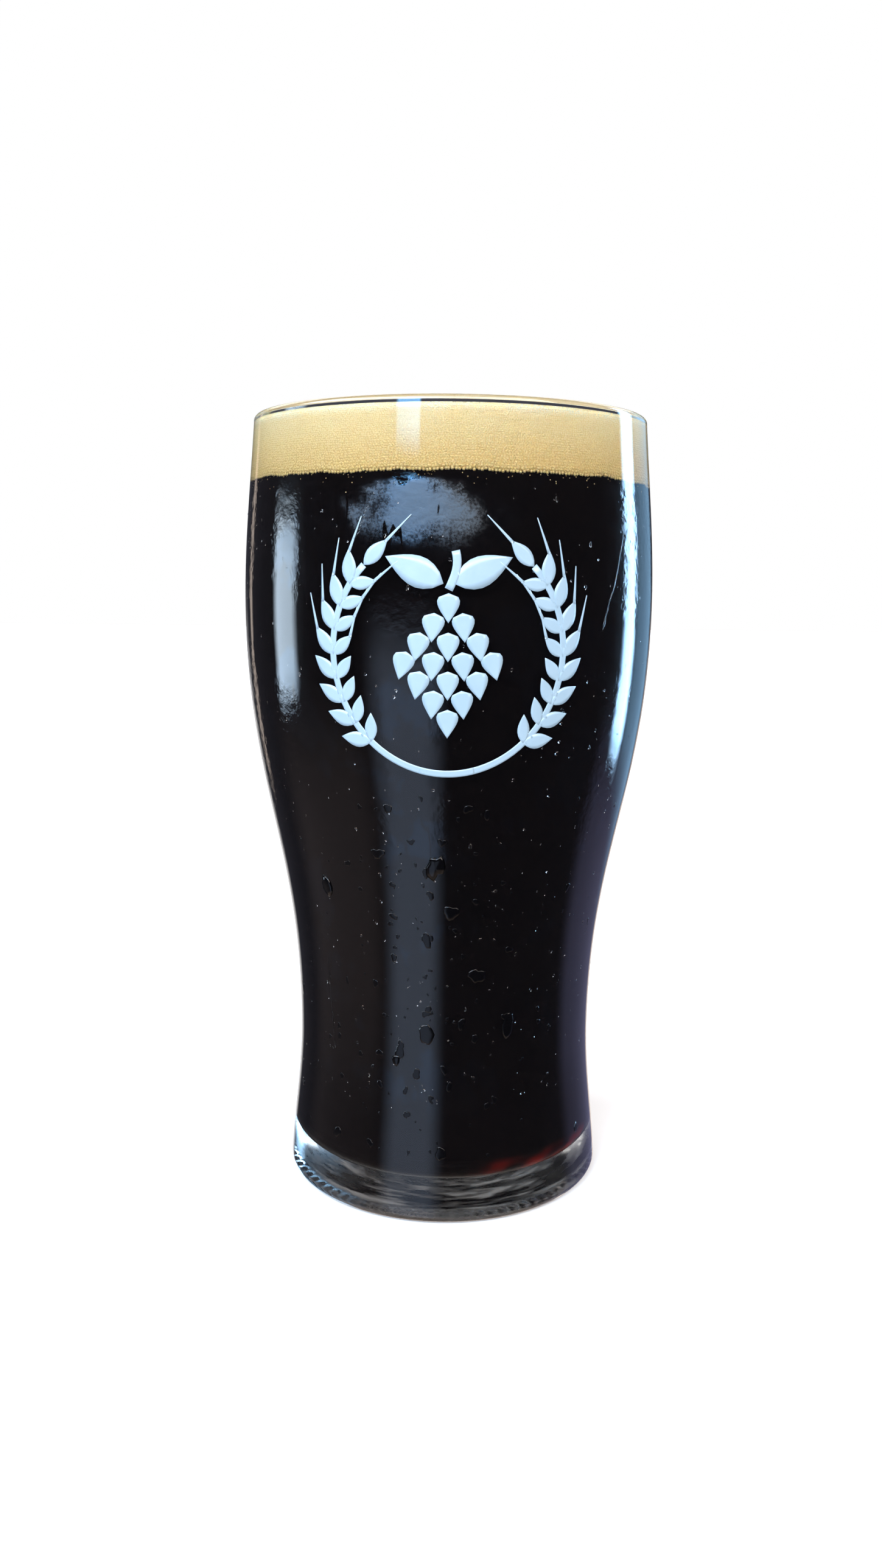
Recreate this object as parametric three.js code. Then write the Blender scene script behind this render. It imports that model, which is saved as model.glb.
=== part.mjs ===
// A pint of stout: a tulip pint glass, the dark beer in it and the foam head on the beer.
// Millimetres, +Z up. The origin is the centre of the ring that the glass stands on.
import * as THREE from "three";

// Driving dimensions of the glass
const GLASS_HEIGHT = 152.1;
const FOOT_RADIUS = 32.1;
const WAIST_RADIUS = 29.95;
const WAIST_HEIGHT = 30.6;
const BELLY_RADIUS = 40.25;
const BELLY_HEIGHT = 116.1;
const RIM_RADIUS = 38.1;

// Thickness of the glass: a thin lip, a heavier wall below it and a solid base
const RIM_WALL = 1.9;
const BELLY_WALL = 2.3;
const WAIST_WALL = 2.9;
const BASE_THICKNESS = 6.5;
const CORNER_RADIUS = 5;
const HEEL_RADIUS = 2.2;

// The underside: a flat ring to stand on, round a shallow hollow
const RING_INNER_RADIUS = 22;
const HOLLOW_DEPTH = 1.4;

// Levels of the contents, as depths below the rim
const STOUT_DEPTH = 12.5;
const FOAM_DEPTH = 5;
const FOAM_CLING_DEPTH = 1.3;
const FOAM_CLING_WIDTH = 3.5;

// Gap that keeps the contents clear of the glass and of each other
const CLEARANCE = 0.3;

// How finely the round shapes are cut
const TURN_STEPS = 56;
const LONG_CURVE_STEPS = 10;
const SHORT_CURVE_STEPS = 4;

// Pull of the curve's handles at the waist, the belly and the rim
const WAIST_PULL = 37.7;
const BELLY_PULL = 36.5;
const SHOULDER_PULL = 13;
const RIM_PULL = 11;
const RIM_LEAN = 0.75;
const FOOT_PULL = 11;
const FOOT_RISE = 8.1;
const FOOT_LEAN = 0.4;

const LIP_RADIUS = RIM_WALL / 2;
const LIP_HEIGHT = GLASS_HEIGHT - LIP_RADIUS;

// The three radii that set one face of the wall, the outer one or the inner one
const OUTER_FACE = { waist: WAIST_RADIUS, belly: BELLY_RADIUS, rim: RIM_RADIUS };
const INNER_FACE = {
  waist: WAIST_RADIUS - WAIST_WALL,
  belly: BELLY_RADIUS - BELLY_WALL,
  rim: RIM_RADIUS - RIM_WALL,
};

// One face of the tulip wall from the waist up to the lip, as two cubic curves in the (radius, height) plane
function wallCurves(face) {
  const waist = new THREE.Vector2(face.waist, WAIST_HEIGHT);
  const belly = new THREE.Vector2(face.belly, BELLY_HEIGHT);
  const rim = new THREE.Vector2(face.rim, LIP_HEIGHT);
  const swell = new THREE.CubicBezierCurve(
    waist,
    new THREE.Vector2(face.waist, WAIST_HEIGHT + WAIST_PULL),
    new THREE.Vector2(face.belly, BELLY_HEIGHT - BELLY_PULL),
    belly,
  );
  const shoulder = new THREE.CubicBezierCurve(
    belly,
    new THREE.Vector2(face.belly, BELLY_HEIGHT + SHOULDER_PULL),
    new THREE.Vector2(face.rim + RIM_LEAN, LIP_HEIGHT - RIM_PULL),
    rim,
  );
  return { swell, shoulder };
}

// Points along one face of the wall, from the waist to the lip
function wallPoints(face) {
  const { swell, shoulder } = wallCurves(face);
  return [...swell.getPoints(LONG_CURVE_STEPS), ...shoulder.getPoints(SHORT_CURVE_STEPS).slice(1)];
}

// A quarter round between the waist's wall and the floor of the cavity, from the floor upwards
function cornerPoints(inset) {
  const floor = BASE_THICKNESS + inset;
  const corner = new THREE.Path();
  corner.absarc(
    INNER_FACE.waist - CORNER_RADIUS,
    BASE_THICKNESS + CORNER_RADIUS,
    CORNER_RADIUS - inset,
    -Math.PI / 2,
    0,
    false,
  );
  return [new THREE.Vector2(0, floor), ...corner.getPoints(SHORT_CURVE_STEPS)];
}

// The cavity's outline from the middle of its floor to the lip, drawn in by a gap
function cavityPoints(inset) {
  const face = {
    waist: INNER_FACE.waist - inset,
    belly: INNER_FACE.belly - inset,
    rim: INNER_FACE.rim - inset,
  };
  return [...cornerPoints(inset), ...wallPoints(face)];
}

// The stretch of an outline between two heights, with its ends worked out on the outline
function between(points, low, high) {
  const cut = [];
  for (let i = 1; i < points.length; i++) {
    const [a, b] = [points[i - 1], points[i]];
    if (a.y < low && b.y >= low) cut.push(a.clone().lerp(b, (low - a.y) / (b.y - a.y)));
    if (b.y > low && b.y < high) cut.push(b);
    if (a.y < high && b.y >= high) cut.push(a.clone().lerp(b, (high - a.y) / (b.y - a.y)));
  }
  return cut;
}

// A solid of revolution about +Z from an outline that runs from axis to axis, underside first
function turned(name, points, material) {
  const geometry = new THREE.LatheGeometry(points, TURN_STEPS);
  geometry.rotateX(Math.PI / 2);
  const mesh = new THREE.Mesh(geometry, material);
  mesh.name = name;
  return mesh;
}

// The glass: hollow underside, standing ring, heel, flared foot, outer wall, rounded lip, inner wall, floor
function makeGlass() {
  const outline = new THREE.Path();
  outline.moveTo(0, HOLLOW_DEPTH);
  outline.quadraticCurveTo(RING_INNER_RADIUS / 2, HOLLOW_DEPTH, RING_INNER_RADIUS, 0);
  outline.lineTo(FOOT_RADIUS - HEEL_RADIUS, 0);
  outline.absarc(FOOT_RADIUS - HEEL_RADIUS, HEEL_RADIUS, HEEL_RADIUS, -Math.PI / 2, 0, false);
  outline.bezierCurveTo(
    FOOT_RADIUS - FOOT_LEAN,
    HEEL_RADIUS + FOOT_RISE,
    WAIST_RADIUS,
    WAIST_HEIGHT - FOOT_PULL,
    WAIST_RADIUS,
    WAIST_HEIGHT,
  );
  const lip = new THREE.Path();
  lip.absarc(RIM_RADIUS - LIP_RADIUS, LIP_HEIGHT, LIP_RADIUS, 0, Math.PI, false);
  const points = [
    ...outline.getPoints(SHORT_CURVE_STEPS),
    ...wallPoints(OUTER_FACE).slice(1),
    ...lip.getPoints(SHORT_CURVE_STEPS).slice(1),
    ...cavityPoints(0).reverse().slice(1),
  ];
  const material = new THREE.MeshStandardMaterial({
    color: 0xe8f0f0,
    roughness: 0.03,
    metalness: 0,
    transparent: true,
    opacity: 0.3,
  });
  return turned("glass", points, material);
}

// The stout: fills the cavity from its floor to the underside of the head
function makeStout() {
  const level = GLASS_HEIGHT - STOUT_DEPTH;
  const wall = cavityPoints(CLEARANCE);
  const points = [wall[0], ...between(wall, 0, level), new THREE.Vector2(0, level)];
  const material = new THREE.MeshStandardMaterial({ color: 0x0d0606, roughness: 0.08, metalness: 0 });
  return turned("stout", points, material);
}

// The head: a disc of foam on the stout, level in the middle and clinging a little higher to the wall
function makeFoam() {
  const low = GLASS_HEIGHT - STOUT_DEPTH + CLEARANCE;
  const top = GLASS_HEIGHT - FOAM_DEPTH;
  const cling = GLASS_HEIGHT - FOAM_CLING_DEPTH;
  const wall = between(cavityPoints(CLEARANCE), low, cling);
  const edge = wall[wall.length - 1];
  const climb = new THREE.QuadraticBezierCurve(
    edge,
    new THREE.Vector2(edge.x - FOAM_CLING_WIDTH / 4, top),
    new THREE.Vector2(edge.x - FOAM_CLING_WIDTH, top),
  );
  const points = [
    new THREE.Vector2(0, low),
    ...wall,
    ...climb.getPoints(SHORT_CURVE_STEPS).slice(1),
    new THREE.Vector2(0, top),
  ];
  const material = new THREE.MeshStandardMaterial({ color: 0xe2c285, roughness: 0.8, metalness: 0 });
  return turned("foam", points, material);
}

const pint = new THREE.Group();
pint.add(makeGlass(), makeStout(), makeFoam());

export default pint;
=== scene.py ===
"""A pint of stout in a tulip glass: clear glass, near-black beer, a tan head of fine bubbles, a printed
emblem and cold-drink condensation, on a plain pale floor. Metres, +Z up, the glass's front towards -Y."""

import math

import bpy
import numpy as np
from mathutils import Matrix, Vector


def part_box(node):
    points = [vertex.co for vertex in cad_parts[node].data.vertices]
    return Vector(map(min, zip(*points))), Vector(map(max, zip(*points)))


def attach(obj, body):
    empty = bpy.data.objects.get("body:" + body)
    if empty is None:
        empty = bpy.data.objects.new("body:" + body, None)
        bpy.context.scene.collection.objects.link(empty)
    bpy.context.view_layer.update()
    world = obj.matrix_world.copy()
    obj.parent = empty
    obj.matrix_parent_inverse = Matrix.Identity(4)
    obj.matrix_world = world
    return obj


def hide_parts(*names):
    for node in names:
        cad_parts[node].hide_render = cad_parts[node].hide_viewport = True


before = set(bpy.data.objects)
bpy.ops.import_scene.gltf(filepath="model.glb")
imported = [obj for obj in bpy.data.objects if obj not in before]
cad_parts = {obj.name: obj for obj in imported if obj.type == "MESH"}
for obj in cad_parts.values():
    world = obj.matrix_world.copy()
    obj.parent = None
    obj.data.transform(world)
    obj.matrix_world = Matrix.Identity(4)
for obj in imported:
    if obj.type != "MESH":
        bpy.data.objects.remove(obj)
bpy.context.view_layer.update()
SEED = 20
random = np.random.default_rng(SEED)
MM = 0.001

# The tulip outline, with the same driving sizes as the solids
GLASS_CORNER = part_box("glass")[1]
GLASS_HEIGHT = GLASS_CORNER.z
BELLY_RADIUS = GLASS_CORNER.x
FOOT_RADIUS = 32.1 * MM
WAIST_RADIUS = 29.95 * MM
WAIST_HEIGHT = 30.6 * MM
BELLY_HEIGHT = 116.1 * MM
RIM_RADIUS = 38.1 * MM
RIM_WALL = 1.9 * MM
BELLY_WALL = 2.3 * MM
WAIST_WALL = 2.9 * MM
BASE_THICKNESS = 6.5 * MM
CORNER_RADIUS = 5 * MM
HEEL_RADIUS = 2.2 * MM
RING_INNER_RADIUS = 22 * MM
HOLLOW_DEPTH = 1.4 * MM
WAIST_PULL = 37.7 * MM
BELLY_PULL = 36.5 * MM
SHOULDER_PULL = 13 * MM
RIM_PULL = 11 * MM
RIM_LEAN = 0.75 * MM
FOOT_PULL = 11 * MM
FOOT_RISE = 8.1 * MM
FOOT_LEAN = 0.4 * MM
LIP_RADIUS = RIM_WALL / 2
LIP_HEIGHT = GLASS_HEIGHT - LIP_RADIUS

# Levels of the contents: the top of the drink and the foam's edge at the wall come from the solids
FOAM_DEPTH = 5 * MM
STOUT_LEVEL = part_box("stout")[1].z
FOAM_TOP = GLASS_HEIGHT - FOAM_DEPTH
FOAM_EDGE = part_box("foam")[1].z

# How far the drink and the head reach into the wall, so that no air gap shows
STOUT_REACH = 0.10 * MM
FOAM_REACH = 0.15 * MM

# How finely the round shapes are cut
TURN_STEPS = 288
WALL_STEPS = 48
FOOT_STEPS = 20
CORNER_STEPS = 16
HOLLOW_STEPS = 14
LIP_STEPS = 14
HEEL_STEPS = 10

# Where a turned outline stops beside the axis, for a point on the axis to close it
POLE_RADIUS = 0.4 * MM

# The photograph's camera, in its 1449 by 2576 frame
FRAME_HEIGHT = 2576
FOCAL_PIXELS = 2050
SENSOR = 36.0
CAMERA_DISTANCE = 252.9 * MM
CAMERA_HEIGHT = 121.3 * MM
CAMERA_PITCH = math.radians(9.26)
CAMERA_YAW = math.radians(0.26)
CAMERA_ROLL = math.radians(0.57)
CAMERA_CLIP = (0.01, 50)


# Outline helpers, in the (radius, height) plane

def bezier(a, b, c, d, steps):
    """Points of a cubic curve, both ends included."""
    t = np.linspace(0, 1, steps + 1)[:, None]
    a, b, c, d = (np.array(p, float) for p in (a, b, c, d))
    return a * (1 - t) ** 3 + 3 * b * t * (1 - t) ** 2 + 3 * c * t**2 * (1 - t) + d * t**3


def arc(centre, radius, start, end, steps):
    """Points of an arc between two angles in degrees, both ends included."""
    t = np.radians(np.linspace(start, end, steps + 1))
    return np.c_[centre[0] + radius * np.cos(t), centre[1] + radius * np.sin(t)]


def wall(waist, belly, rim):
    """One face of the tulip wall, from the waist to the lip."""
    swell = bezier(
        (waist, WAIST_HEIGHT), (waist, WAIST_HEIGHT + WAIST_PULL),
        (belly, BELLY_HEIGHT - BELLY_PULL), (belly, BELLY_HEIGHT), WALL_STEPS,
    )
    shoulder = bezier(
        (belly, BELLY_HEIGHT), (belly, BELLY_HEIGHT + SHOULDER_PULL),
        (rim + RIM_LEAN, LIP_HEIGHT - RIM_PULL), (rim, LIP_HEIGHT), WALL_STEPS // 2,
    )
    return np.vstack([swell, shoulder[1:]])


def cavity(reach=0.0):
    """The cavity's outline from the middle of the floor to the lip, pushed into the glass by reach."""
    waist = WAIST_RADIUS - WAIST_WALL
    centre = (waist - CORNER_RADIUS, BASE_THICKNESS + CORNER_RADIUS)
    corner = arc(centre, CORNER_RADIUS + reach, -90, 0, CORNER_STEPS)
    side = wall(waist + reach, BELLY_RADIUS - BELLY_WALL + reach, RIM_RADIUS - RIM_WALL + reach)
    return np.vstack([[(0, BASE_THICKNESS - reach)], corner, side])


OUTER_WALL = wall(WAIST_RADIUS, BELLY_RADIUS, RIM_RADIUS)
FOOT_CURVE = bezier(
    (FOOT_RADIUS, HEEL_RADIUS), (FOOT_RADIUS - FOOT_LEAN, HEEL_RADIUS + FOOT_RISE),
    (WAIST_RADIUS, WAIST_HEIGHT - FOOT_PULL), (WAIST_RADIUS, WAIST_HEIGHT), FOOT_STEPS,
)
OUTER_FACE = np.vstack([FOOT_CURVE, OUTER_WALL[1:]])
CAVITY = cavity()
LEAN_STEP = 0.5 * MM


def outer_radius(height):
    """Radius of the glass's outer face at a height."""
    return np.interp(height, OUTER_FACE[:, 1], OUTER_FACE[:, 0])


def cavity_radius(height):
    """Radius of the cavity at a height above its corner."""
    return np.interp(height, CAVITY[1:, 1], CAVITY[1:, 0])


def outer_lean(height):
    """Change of the outer radius with height, which tilts the surface up or down."""
    return (outer_radius(height + LEAN_STEP) - outer_radius(height - LEAN_STEP)) / (2 * LEAN_STEP)


# Mesh helpers

def mesh_piece(name, vertices, faces, material):
    """A smooth mesh object from arrays, with one material, riding on the one body."""
    mesh = bpy.data.meshes.new(name)
    corners = np.asarray(vertices).tolist()
    loops = [tuple(face) for face in np.asarray(faces, dtype=object)]
    mesh.from_pydata(corners, [], loops)
    mesh.validate()
    mesh.polygons.foreach_set("use_smooth", [True] * len(mesh.polygons))
    mesh.materials.append(material)
    piece = bpy.data.objects.new(name, mesh)
    bpy.context.scene.collection.objects.link(piece)
    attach(piece, "root")
    return piece


def full_turn(steps):
    """Angles of the steps of one turn."""
    return np.arange(steps) * 2 * math.pi / steps


def turned(radius, angle, height):
    """Points at a radius, an angle from the front and a height, with x, y and z along the last axis."""
    radius, angle, height = np.broadcast_arrays(radius, angle, height)
    return np.stack([radius * np.sin(angle), -radius * np.cos(angle), height], axis=-1)


def around(outline, steps):
    """Vertices of an outline turned about +Z, as an array of outline points by steps by 3."""
    return turned(outline[:, :1], full_turn(steps), outline[:, 1:])


def ring_faces(rings, steps):
    """Quads between rings of vertices one after the other, facing out for an outline that runs upwards."""
    i, j = np.meshgrid(np.arange(rings - 1), np.arange(steps), indexing="ij")
    k = (j + 1) % steps
    quads = np.stack([i * steps + j, i * steps + k, (i + 1) * steps + k, (i + 1) * steps + j], axis=2)
    return [tuple(q) for q in quads.reshape(-1, 4).tolist()]


def capped(grid):
    """Vertices and faces of a turned grid of rings, with a point on the axis at each end."""
    rings, steps = grid.shape[:2]
    vertices = [*grid.reshape(-1, 3), (0, 0, grid[0, :, 2].mean()), (0, 0, grid[-1, :, 2].mean())]
    low, high = rings * steps, rings * steps + 1
    faces = ring_faces(rings, steps)
    last = (rings - 1) * steps
    for j in range(steps):
        k = (j + 1) % steps
        faces.append((low, k, j))
        faces.append((high, last + j, last + k))
    return vertices, faces


def cap_faces(count, sides, rings):
    """Triangles of closed caps, each with a top point, its rings one after the other and a sunk point."""
    faces = []
    sunk = 1 + rings * sides
    for i in range(sides):
        k = (i + 1) % sides
        faces.append((0, 1 + i, 1 + k))
        for ring in range(rings - 1):
            a, b = 1 + ring * sides, 1 + (ring + 1) * sides
            faces += [(a + i, b + i, b + k), (a + i, b + k, a + k)]
        faces.append((sunk, sunk - sides + k, sunk - sides + i))
    first = np.arange(count) * (sunk + 1)
    return (np.array(faces)[None] + first[:, None, None]).reshape(-1, 3)


# Rings of a bead from its top down, as shares of its width and height, and the depth of its sunk point
ROUND_BEAD = ((0.72, 0.68), (1.0, 0.0))
PLAIN_BEAD = ((1.0, 0.0),)
BEAD_SINK = 0.5


def beads(centres, axes, radius, flat, sides, rings):
    """Small closed caps, one at each centre in its own axes across, up and outward."""
    across, up, out = (axis[:, None, :] for axis in axes)
    shape = [(0, 0, 1)]
    for width, rise in rings:
        shape += [(width * math.cos(t), width * math.sin(t), rise) for t in full_turn(sides)]
    shape += [(0, 0, -BEAD_SINK)]
    x, y, z = np.array(shape).T[:, None, :, None]
    vertices = centres[:, None, :] + radius[:, None, None] * (x * across + y * up + z * flat * out)
    return vertices.reshape(-1, 3), cap_faces(len(centres), sides, len(rings))


def wall_axes(angle, lean):
    """Across, up and outward directions on an upright surface of revolution; angle 0 is the front."""
    out = np.stack([np.sin(angle), -np.cos(angle), -lean], axis=1)
    out /= np.linalg.norm(out, axis=1, keepdims=True)
    across = np.stack([np.cos(angle), np.sin(angle), np.zeros(len(angle))], axis=1)
    return across, np.cross(out, across), out


# Material helpers

def new_material(name):
    """A material with a plain Principled surface; returns it with its tree and shader."""
    material = bpy.data.materials.new(name)
    material.use_nodes = True
    tree = material.node_tree
    return material, tree, tree.nodes["Principled BSDF"]


def feed(tree, target, inputs):
    """Links or sets inputs of a node, by name or number."""
    for name, source in inputs.items():
        if isinstance(source, bpy.types.NodeSocket):
            tree.links.new(source, target.inputs[name])
        else:
            target.inputs[name].default_value = source


def node(tree, kind, inputs, **settings):
    """A shader node with its settings and what feeds its inputs."""
    made = tree.nodes.new(kind)
    for key, value in settings.items():
        setattr(made, key, value)
    feed(tree, made, inputs)
    return made


def coordinates(tree):
    """Object coordinates, which are the part's own frame."""
    return node(tree, "ShaderNodeTexCoord", {}).outputs["Object"]


def along(tree, axis):
    """One coordinate of a point of the part: X, Y or Z."""
    return node(tree, "ShaderNodeSeparateXYZ", {0: coordinates(tree)}).outputs[axis]


def vector_math(tree, operation, a, b=(0, 0, 0)):
    """One operation on two vectors."""
    return node(tree, "ShaderNodeVectorMath", {0: a, 1: b}, operation=operation).outputs[0]


def vector_length(tree, vector):
    """The length of a vector."""
    return node(tree, "ShaderNodeVectorMath", {0: vector}, operation="LENGTH").outputs["Value"]


def from_axis(tree):
    """The level vector from the part's axis to a point of it."""
    return vector_math(tree, "MULTIPLY", coordinates(tree), (1, 1, 0))


def math_node(tree, operation, a, b=0.0):
    """One operation on two values."""
    return node(tree, "ShaderNodeMath", {0: a, 1: b}, operation=operation).outputs[0]


def product(tree, value, *others):
    """Values multiplied together."""
    for other in others:
        value = math_node(tree, "MULTIPLY", value, other)
    return value


def noise(tree, scale, detail=3.0, roughness=0.5, vector=None):
    """A noise value in the part's frame; scale is features per metre."""
    made = node(
        tree, "ShaderNodeTexNoise",
        {"Vector": vector or coordinates(tree), "Scale": scale, "Detail": detail, "Roughness": roughness},
    )
    return made.outputs["Fac"]


def span(tree, value, low, high, to_low=0.0, to_high=1.0):
    """A value moved from one range to another, held at its ends."""
    made = node(
        tree, "ShaderNodeMapRange",
        {"Value": value, "From Min": low, "From Max": high, "To Min": to_low, "To Max": to_high},
        interpolation_type="SMOOTHSTEP",
    )
    return made.outputs["Result"]


def uneven(tree, scale, low, high, detail=2.0):
    """A value that wanders between a low and a high one."""
    return span(tree, noise(tree, scale, detail), 0.3, 0.7, low, high)


def blend(tree, factor, a, b):
    """A colour between two colours, each of them a socket or three numbers."""
    made = node(tree, "ShaderNodeMix", {0: factor}, data_type="RGBA")
    for colour_input, colour in ((6, a), (7, b)):
        feed(tree, made, {colour_input: (*colour, 1.0) if isinstance(colour, tuple) else colour})
    return made.outputs[2]


def bump(tree, height, distance, strength=1.0):
    """A surface normal from a height, as a share of a distance in metres."""
    made = node(tree, "ShaderNodeBump", {"Height": height, "Distance": distance, "Strength": strength})
    return made.outputs["Normal"]


# Material of the glass, with the condensation that is too fine for drops

GLASS_COLOUR = (0.955, 0.985, 0.975, 1)
GLASS_IOR = 1.5
WATER_IOR = 1.33
POLISHED = 0.012
MISTED = 0.62
MIST_CENTRE = (-5 * MM, 0, 132 * MM)
MIST_REACH = (17 * MM, 200 * MM, 9.5 * MM)
# Painted sheen: a bluish tint, above one, that brightens the reflections of the misted glass
MIST_SHEEN_TINT = (1.4, 2.05, 2.75)
MIST_POWER = 1.4
MIST_SPREAD = 0.32
STREAKS_PER_METRE = 270
RELIEF_DEPTH = 0.042 * MM
STRIATION_SHARE = 0.10
WATER_SHARE = 1.3

# Features per metre along X, Y and Z of patterns that are drawn out upright
WIPED_RUNS = (190, 190, 42)
STRIATIONS = (620, 620, 45)

# Where things on the glass begin and where they are full, as heights, depths or radii
MIST_FULL = (118 * MM, 137 * MM)
MIST_FRONT = (-8 * MM, -22 * MM)
MIST_FOOT = (14 * MM, 30 * MM)
MIST_HEAD = (STOUT_LEVEL, STOUT_LEVEL - 2 * MM)
FILM_FOOT = (62 * MM, 82 * MM)
FILM_HEAD = (STOUT_LEVEL, STOUT_LEVEL - 3 * MM)
DULL_HEIGHT = (HOLLOW_DEPTH + 0.6 * MM, HOLLOW_DEPTH + 0.2 * MM)
DULL_RADIUS = (FOOT_RADIUS - 1.2 * HEEL_RADIUS, FOOT_RADIUS - 1.6 * HEEL_RADIUS)


def upright_noise(tree, features):
    """A noise value drawn out upright."""
    return noise(tree, 1.0, detail=2.0, vector=vector_math(tree, "MULTIPLY", coordinates(tree), features))


def mist_patch(tree):
    """A ragged patch of mist under the head, in front, that thins downwards."""
    moved = vector_math(tree, "SUBTRACT", coordinates(tree), MIST_CENTRE)
    distance = vector_length(tree, vector_math(tree, "DIVIDE", moved, MIST_REACH))
    ragged = math_node(tree, "ADD", distance, noise(tree, 170, detail=5.0, roughness=0.6))
    thinning = span(tree, along(tree, "Z"), *MIST_FULL, 0.3, 1.0)
    return product(tree, span(tree, ragged, 1.75, 0.75), thinning)


def wiped_runs(tree):
    """The share of the mist that is left where thin upright runs have wiped it."""
    off_run = math_node(tree, "SUBTRACT", upright_noise(tree, WIPED_RUNS), 0.56)
    return span(tree, math_node(tree, "ABSOLUTE", off_run), 0.008, 0.022, 0.1, 1.0)


def cold_mist(tree):
    """How thick the haze lies, 0 to 1, in front: a patch under the head and thin ragged patches round it."""
    height = along(tree, "Z")
    ragged = noise(tree, 58, detail=4.0, roughness=0.6)
    spread = product(tree, span(tree, ragged, 0.50, 0.56), MIST_SPREAD)
    mist = math_node(tree, "MAXIMUM", mist_patch(tree), spread)
    front = span(tree, along(tree, "Y"), *MIST_FRONT)
    below_head = span(tree, height, *MIST_HEAD)
    above_foot = span(tree, height, *MIST_FOOT)
    return product(tree, mist, front, below_head, above_foot, wiped_runs(tree))


def pressed_underside(tree):
    """Roughness of the underside inside the heel, which the mould leaves dull in streaks round the axis."""
    height, radius = along(tree, "Z"), vector_length(tree, from_axis(tree))
    bearing = vector_math(tree, "NORMALIZE", from_axis(tree))
    ring = node(tree, "ShaderNodeCombineXYZ", {"Z": product(tree, radius, STREAKS_PER_METRE)}).outputs[0]
    streaks = noise(tree, 1.6, detail=4.0, roughness=0.6, vector=vector_math(tree, "ADD", bearing, ring))
    low = span(tree, height, *DULL_HEIGHT)
    inside = span(tree, radius, *DULL_RADIUS)
    return product(tree, low, inside, span(tree, streaks, 0.36, 0.70, 0.16, 0.66))


def water_film(tree):
    """Height of a thin uneven film of water, in patches on the upper bowl."""
    height = along(tree, "Z")
    patches = span(tree, noise(tree, 42), 0.42, 0.52)
    upper = span(tree, height, *FILM_FOOT)
    below_head = span(tree, height, *FILM_HEAD)
    return product(tree, noise(tree, 650), patches, upper, below_head)


def wet_relief(tree):
    """Height of the glass's slow ripple, of fine upright striations and of the film of water."""
    ripple = noise(tree, 45, detail=1.0)
    striation = product(tree, upright_noise(tree, STRIATIONS), STRIATION_SHARE)
    film = product(tree, water_film(tree), WATER_SHARE)
    return math_node(tree, "ADD", math_node(tree, "ADD", ripple, striation), film)


def clear_glass():
    """Polished soda-lime glass, with fine cold mist on the front of the bowl, whose reflections carry a
    painted bluish sheen.
    """
    material, tree, shader = new_material("clear_glass")
    grain = span(tree, noise(tree, 2600, detail=2.0), 0.36, 0.6, 0.82, 1.0)
    mist = math_node(tree, "POWER", product(tree, cold_mist(tree), grain), MIST_POWER)
    haze = span(tree, mist, 0.0, 1.0, POLISHED, MISTED)
    feed(tree, shader, {
        "Base Color": GLASS_COLOUR,
        "Transmission Weight": 1.0,
        "IOR": GLASS_IOR,
        "Roughness": math_node(tree, "MAXIMUM", haze, pressed_underside(tree)),
        # Painted bluish sheen on the reflections where the mist lies
        "Specular Tint": blend(tree, mist, (1.0, 1.0, 1.0), MIST_SHEEN_TINT),
        "Normal": bump(tree, wet_relief(tree), RELIEF_DEPTH),
    })
    return material


# Materials of the contents, the print and the drops

STOUT_COLOURS = ((0.0022, 0.0015, 0.0016), (0.0036, 0.0022, 0.0020))
# Painted ruby glint of light shining through the thin beer: its colour, then where it starts and where it is
# full by height, radius and side
PAINTED_RUBY_GLINT = (0.20, 0.008, 0.004)
RUBY_GLINT_HEIGHT = (BASE_THICKNESS + CORNER_RADIUS, BASE_THICKNESS + 1 * MM)
RUBY_GLINT_RADIUS = (22 * MM, 25 * MM)
RUBY_GLINT_SIDE = (2 * MM, 14 * MM)
ENAMEL_COLOURS = ((0.185, 0.262, 0.318), (0.20, 0.278, 0.335))
DARK_DROP_COLOURS = ((0.0005, 0.0005, 0.0007), (0.0012, 0.0011, 0.0013))


def stout():
    """Near-black beer, faintly brown, with a painted ruby glint of light through the thin beer, patchy, at
    the right of the bottom corner.
    """
    material, tree, shader = new_material("stout")
    body = blend(tree, noise(tree, 40, detail=2.0), *STOUT_COLOURS)
    low = span(tree, along(tree, "Z"), *RUBY_GLINT_HEIGHT)
    corner = span(tree, vector_length(tree, from_axis(tree)), *RUBY_GLINT_RADIUS)
    right = span(tree, along(tree, "X"), *RUBY_GLINT_SIDE)
    # Patches of the painted ruby glint
    spots = span(tree, noise(tree, 75, detail=2.0), 0.52, 0.68)
    feed(tree, shader, {
        "Base Color": blend(tree, product(tree, low, corner, spots, right), body, PAINTED_RUBY_GLINT),
        "Roughness": uneven(tree, 300, 0.10, 0.2),
        "Specular IOR Level": 0.03,
    })
    return material


# Colours of the head's side: foam low and high, painted shade in the seams between bubbles low and high, a
# painted pale sheen of the hazed glass at the top edge, mottling
FOAM_SIDE_COLOURS_SHADE_AND_SHEEN = np.array([
    (0.93, 0.67, 0.285),
    (0.92, 0.775, 0.45),
    (0.70, 0.45, 0.16),
    (0.88, 0.70, 0.37),
    (0.68, 0.73, 0.64),
    (0.92, 0.68, 0.315),
])
GAP_SHADE = np.array((0.94, 0.89, 0.80))
# The top's colours: painted darker than the side as shade against the stronger light falling on the top,
# with painted shade in its seams
SHADED_CROWN_COLOUR = (0.37, 0.295, 0.163)
SHADED_CROWN_SEAM = (0.29, 0.20, 0.09)
FOAM_PALING = (STOUT_LEVEL - 1 * MM, FOAM_EDGE)
# Where the painted pale sheen of the hazed glass in front starts on the head's side and where it is full
HAZE_SHEEN_BAND = (FOAM_EDGE - 1.9 * MM, FOAM_EDGE - 0.3 * MM)
CROWN_BAND = 0.5 * MM
FOAM_SCATTER = (1.6, 0.9, 0.4)
FOAM_SCATTER_SCALE = 0.6 * MM


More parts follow.
